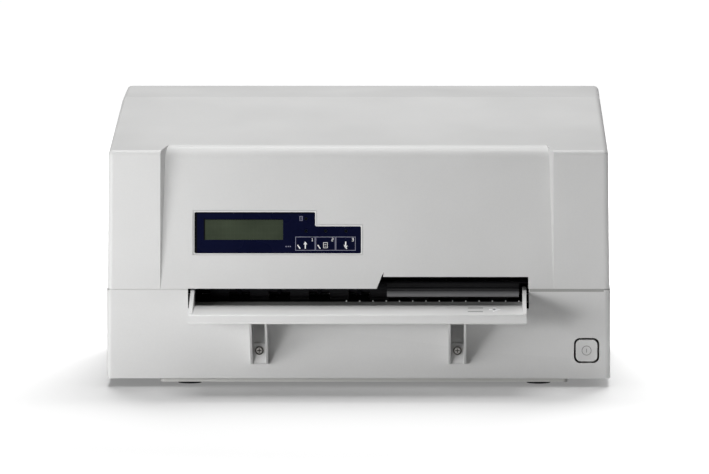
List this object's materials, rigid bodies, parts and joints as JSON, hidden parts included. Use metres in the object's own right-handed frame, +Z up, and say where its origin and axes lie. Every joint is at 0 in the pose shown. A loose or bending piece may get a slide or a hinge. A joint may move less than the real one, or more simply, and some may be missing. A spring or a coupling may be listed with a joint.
{
  "type": "dot matrix printer",
  "caption": "Desk-top flatbed dot matrix printer with a hinged cover, control panel, front document table on brackets, and a sliding print carriage inside.",
  "frame": {"origin": "bottom centre of the whole printer's box, on the surface that the feet stand on, table and hinges included", "axes": "+X to the right seen from the front, +Y to the rear, +Z up"},
  "size_m": [0.384, 0.3426, 0.2062],
  "materials": {
    "shell_plastic": "fine spark-eroded grain, warm pale grey",
    "dark_plastic": "fine matt moulded black",
    "foil": "printed navy foil, satin",
    "display_glass": "grey-green liquid crystal window",
    "lens": "unlit smoked lens",
    "sheet_steel": "zinc-plated sheet",
    "shaft_steel": "ground and polished",
    "black_steel": "black passivated sheet",
    "aluminium": "dark anodised die casting",
    "rubber": "ground rubber",
    "gear_plastic": "natural acetal",
    "bronze": "sintered bronze",
    "circuit_board": "green solder mask",
    "ribbon": "inked nylon weave",
    "knob_plastic": "blue moulding",
    "guide_bar": "satin grey"
  },
  "bodies": {
    "base": {"base_plate": "sheet_steel", "rubber_feet": "rubber", "lower_casing": "shell_plastic", "front_table": "shell_plastic", "table_brackets": "shell_plastic", "bracket_screws": "shaft_steel", "left_side_frame": "sheet_steel", "right_side_frame": "sheet_steel", "lower_guide_plate": "black_steel", "front_upper_guide": "black_steel", "rear_upper_guide": "black_steel", "upper_guide_bar": "guide_bar", "platen_bar": "sheet_steel", "front_guide_shaft": "shaft_steel", "rear_guide_shaft": "shaft_steel", "roller_bushes": "gear_plastic", "rear_bridge": "sheet_steel", "carriage_motor": "aluminium", "timing_belt": "rubber", "feed_motor": "aluminium", "logic_board": "circuit_board", "board_parts": "dark_plastic", "power_supply": "sheet_steel", "mains_inlet": "dark_plastic", "parallel_socket": "sheet_steel", "serial_socket": "sheet_steel", "power_switch": "dark_plastic", "hinge_pins": "shaft_steel"},
    "cover": {"upper_cover": "shell_plastic", "panel_foil": "foil", "display_window": "display_glass", "display_module": "dark_plastic", "indicator_lenses": "lens", "panel_board": "circuit_board"},
    "left_key": {"key_left": "foil"},
    "middle_key": {"key_middle": "foil"},
    "right_key": {"key_right": "foil"},
    "button": {"power_button": "shell_plastic"},
    "carriage": {"carriage_frame": "dark_plastic", "carriage_bushes": "bronze", "print_head": "aluminium", "needle_guide": "aluminium", "ribbon_cassette": "dark_plastic", "ink_ribbon": "ribbon"},
    "knob": {"ribbon_knob": "knob_plastic"},
    "motor_pulley": {"drive_pulley": "gear_plastic", "carriage_motor_shaft": "shaft_steel"},
    "tail_pulley": {"idler_pulley": "gear_plastic"},
    "front_roller": {"front_feed_shaft": "shaft_steel", "front_feed_sleeves": "rubber", "front_roller_gear": "gear_plastic"},
    "rear_roller": {"rear_feed_shaft": "shaft_steel", "rear_feed_sleeves": "rubber", "rear_roller_gear": "gear_plastic"},
    "front_pinch": {"front_pinch_rollers": "rubber"},
    "rear_pinch": {"rear_pinch_rollers": "rubber"},
    "pinion": {"feed_motor_shaft": "shaft_steel", "feed_pinion": "gear_plastic"}
  },
  "joints": [
    {"name": "cover_hinge", "type": "hinge", "parent": "base", "child": "cover", "pos_m": [0, 0.16675, 0.0752], "axis": [-1, 0, 0], "range_deg": [0, 80]},
    {"name": "key_left_press", "type": "slide", "parent": "cover", "child": "left_key", "axis": [0, 0.9933, -0.1157], "range_m": [0, 0.0004], "stiffness_N_per_m": 400, "springref_m": -0.0004},
    {"name": "key_middle_press", "type": "slide", "parent": "cover", "child": "middle_key", "axis": [0, 0.9933, -0.1157], "range_m": [0, 0.0004], "stiffness_N_per_m": 400, "springref_m": -0.0004},
    {"name": "key_right_press", "type": "slide", "parent": "cover", "child": "right_key", "axis": [0, 0.9933, -0.1157], "range_m": [0, 0.0004], "stiffness_N_per_m": 400, "springref_m": -0.0004},
    {"name": "power_button_press", "type": "slide", "parent": "base", "child": "button", "axis": [0, 1, 0], "range_m": [0, 0.0035], "stiffness_N_per_m": 600, "springref_m": -0.001},
    {"name": "carriage_slide", "type": "slide", "parent": "base", "child": "carriage", "axis": [1, 0, 0], "range_m": [0, 0.23876]},
    {"name": "ribbon_knob_spin", "type": "hinge", "parent": "carriage", "child": "knob", "pos_m": [-0.08538, -0.07325, 0.0923], "axis": [0, 0, 1], "continuous": true},
    {"name": "motor_pulley_spin", "type": "hinge", "parent": "base", "child": "motor_pulley", "pos_m": [0.154, 0.04075, 0.1073], "axis": [0, 0, 1], "continuous": true},
    {"name": "tail_pulley_spin", "type": "hinge", "parent": "base", "child": "tail_pulley", "pos_m": [-0.154, 0.04075, 0.1073], "axis": [0, 0, 1], "continuous": true},
    {"name": "front_roller_spin", "type": "hinge", "parent": "base", "child": "front_roller", "pos_m": [0, -0.05725, 0.0548], "axis": [1, 0, 0], "continuous": true},
    {"name": "rear_roller_spin", "type": "hinge", "parent": "base", "child": "rear_roller", "pos_m": [0, 0.01075, 0.0548], "axis": [1, 0, 0], "continuous": true},
    {"name": "front_pinch_spin", "type": "hinge", "parent": "base", "child": "front_pinch", "pos_m": [0, -0.05725, 0.0691], "axis": [1, 0, 0], "continuous": true},
    {"name": "rear_pinch_spin", "type": "hinge", "parent": "base", "child": "rear_pinch", "pos_m": [0, 0.01075, 0.0691], "axis": [1, 0, 0], "continuous": true},
    {"name": "pinion_spin", "type": "hinge", "parent": "base", "child": "pinion", "pos_m": [0, -0.02325, 0.03354], "axis": [1, 0, 0], "continuous": true}
  ],
  "couplings": [
    {"joint": "motor_pulley_spin", "follows": "carriage_slide", "rad_per_m": 114.94},
    {"joint": "tail_pulley_spin", "follows": "carriage_slide", "rad_per_m": 114.94},
    {"joint": "rear_roller_spin", "follows": "front_roller_spin", "ratio": 1},
    {"joint": "pinion_spin", "follows": "front_roller_spin", "ratio": -3},
    {"joint": "front_pinch_spin", "follows": "front_roller_spin", "ratio": -1.3333},
    {"joint": "rear_pinch_spin", "follows": "front_roller_spin", "ratio": -1.3333}
  ]
}
